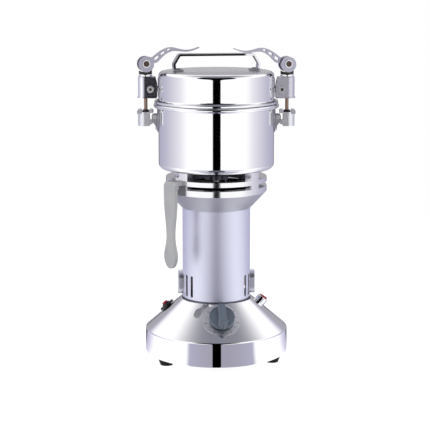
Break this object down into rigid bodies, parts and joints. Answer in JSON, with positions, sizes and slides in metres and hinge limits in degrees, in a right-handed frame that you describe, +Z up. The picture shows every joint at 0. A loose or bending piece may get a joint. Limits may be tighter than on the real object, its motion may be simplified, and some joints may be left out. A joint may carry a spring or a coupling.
{
  "type": "electric grain mill",
  "caption": "Electric grain mill with a motor tube on a flared base, a round grinding bowl, a lid held by two lever latches, a side handle, a timer knob, a switch and a reset button.",
  "frame": {"origin": "centre of the bounding box on the plane of the feet, on the axis of the motor", "axes": "+Z up along the motor's axis, -Y is the front with the timer knob, +X is the user's right"},
  "size_m": [0.194, 0.178, 0.3855],
  "materials": {
    "aluminium": "satin aluminium",
    "black_plastic": "matt black",
    "brass": "plain brass",
    "carbon": "pressed carbon",
    "chrome": "bright chrome plate",
    "copper": "enamelled copper wire",
    "copper_steel": "bronze-coloured rod",
    "core_steel": "laminated steel",
    "dark_steel": "dark blackened steel",
    "dial": "satin grey with dark marks",
    "grey_plastic": "matt dark blue-grey",
    "handle_grey": "matt grey",
    "red_plastic": "gloss red",
    "rubber": "matt black rubber",
    "seal_rubber": "silicone",
    "steel_brushed": "brushed stainless steel",
    "steel_polished": "mirror-polished stainless steel"
  },
  "bodies": {
    "mill": {"base_shell": "steel_polished", "base_plate": "steel_brushed", "rubber_feet": "rubber", "foot_screws": "steel_brushed", "motor_tube": "steel_brushed", "brush_covers": "steel_brushed", "brush_holders": "brass", "carbon_brushes": "carbon", "stator_core": "core_steel", "stator_coils": "copper", "lower_bearing_bracket": "aluminium", "upper_bearing_bracket": "aluminium", "bearings": "steel_brushed", "vent_collar": "aluminium", "bowl": "steel_polished", "pan_screws": "steel_brushed", "shaft_seal": "seal_rubber", "keeper_brackets": "steel_polished", "keeper_pins": "steel_brushed", "side_handle": "handle_grey", "dial_plate": "dial", "timer_switch": "black_plastic", "breaker_body": "black_plastic", "switch_body": "chrome", "inlet_grommet": "rubber"},
    "lid": {"lid": "steel_polished", "lid_gasket": "seal_rubber", "lid_handle": "steel_brushed", "lid_rivets": "steel_polished", "lid_lugs": "steel_polished"},
    "rotor": {"motor_shaft": "steel_brushed", "rotor_core": "core_steel", "commutator": "copper", "cooling_fan": "black_plastic", "lower_blade": "steel_brushed", "upper_blade": "steel_brushed", "blade_spacer": "steel_brushed", "blade_nut": "steel_brushed"},
    "timer_knob": {"timer_knob": "grey_plastic", "timer_shaft": "brass"},
    "reset_button": {"reset_button": "red_plastic"},
    "power_rocker": {"power_rocker": "red_plastic"},
    "left_yoke": {"left_yoke": "chrome", "left_hinge_pin": "chrome", "left_clamp_ring": "chrome", "left_saddle": "black_plastic"},
    "left_rod": {"left_rod": "copper_steel", "left_hook_block": "chrome", "left_rod_nut": "dark_steel", "left_cam_pin": "chrome"},
    "left_lever": {"left_lever": "chrome"},
    "right_yoke": {"right_yoke": "chrome", "right_hinge_pin": "chrome", "right_clamp_ring": "chrome", "right_saddle": "black_plastic"},
    "right_rod": {"right_rod": "copper_steel", "right_hook_block": "chrome", "right_rod_nut": "dark_steel", "right_cam_pin": "chrome"},
    "right_lever": {"right_lever": "chrome"}
  },
  "joints": [
    {"name": "lid_lift", "type": "slide", "parent": "mill", "child": "lid", "axis": [0, 0, 1], "range_m": [0, 0.1]},
    {"name": "left_latch_swing", "type": "hinge", "parent": "lid", "child": "left_yoke", "pos_m": [-0.08, 0, 0.3353], "axis": [0, 1, 0], "range_deg": [-3.4, 10]},
    {"name": "left_rod_slide", "type": "slide", "parent": "left_yoke", "child": "left_rod", "axis": [0, 0, -1], "range_m": [0, 0.00133]},
    {"name": "left_lever_turn", "type": "hinge", "parent": "left_rod", "child": "left_lever", "pos_m": [-0.0862, 0, 0.3662], "axis": [0.1822, -0.9833, 0], "range_deg": [0, 150]},
    {"name": "right_latch_swing", "type": "hinge", "parent": "lid", "child": "right_yoke", "pos_m": [0.08, 0, 0.3353], "axis": [0, -1, 0], "range_deg": [-3.4, 10]},
    {"name": "right_rod_slide", "type": "slide", "parent": "right_yoke", "child": "right_rod", "axis": [0, 0, -1], "range_m": [0, 0.00133]},
    {"name": "right_lever_turn", "type": "hinge", "parent": "right_rod", "child": "right_lever", "pos_m": [0.0862, 0, 0.3662], "axis": [-0.1822, 0.9833, 0], "range_deg": [0, 150]},
    {"name": "rotor_spin", "type": "hinge", "parent": "mill", "child": "rotor", "pos_m": [0, 0, 0.15], "axis": [0, 0, 1], "continuous": true},
    {"name": "timer_turn", "type": "hinge", "parent": "mill", "child": "timer_knob", "pos_m": [0.00648, -0.06166, 0.06054], "axis": [-0.0684, 0.6505, -0.7565], "range_deg": [0, 300]},
    {"name": "reset_press", "type": "slide", "parent": "mill", "child": "reset_button", "axis": [0.6441, -0.1136, -0.7565], "range_m": [0, 0.0015], "stiffness_N_per_m": 500, "springref_m": -0.001},
    {"name": "rocker_tip", "type": "hinge", "parent": "mill", "child": "power_rocker", "pos_m": [0.0579, 0.01021, 0.07098], "axis": [-0.1736, 0.9848, 0], "range_deg": [0, 16]}
  ],
  "couplings": [
    {"joint": "left_lever_turn", "follows": "left_rod_slide", "rad_per_m": 1968},
    {"joint": "right_lever_turn", "follows": "right_rod_slide", "rad_per_m": 1968}
  ]
}
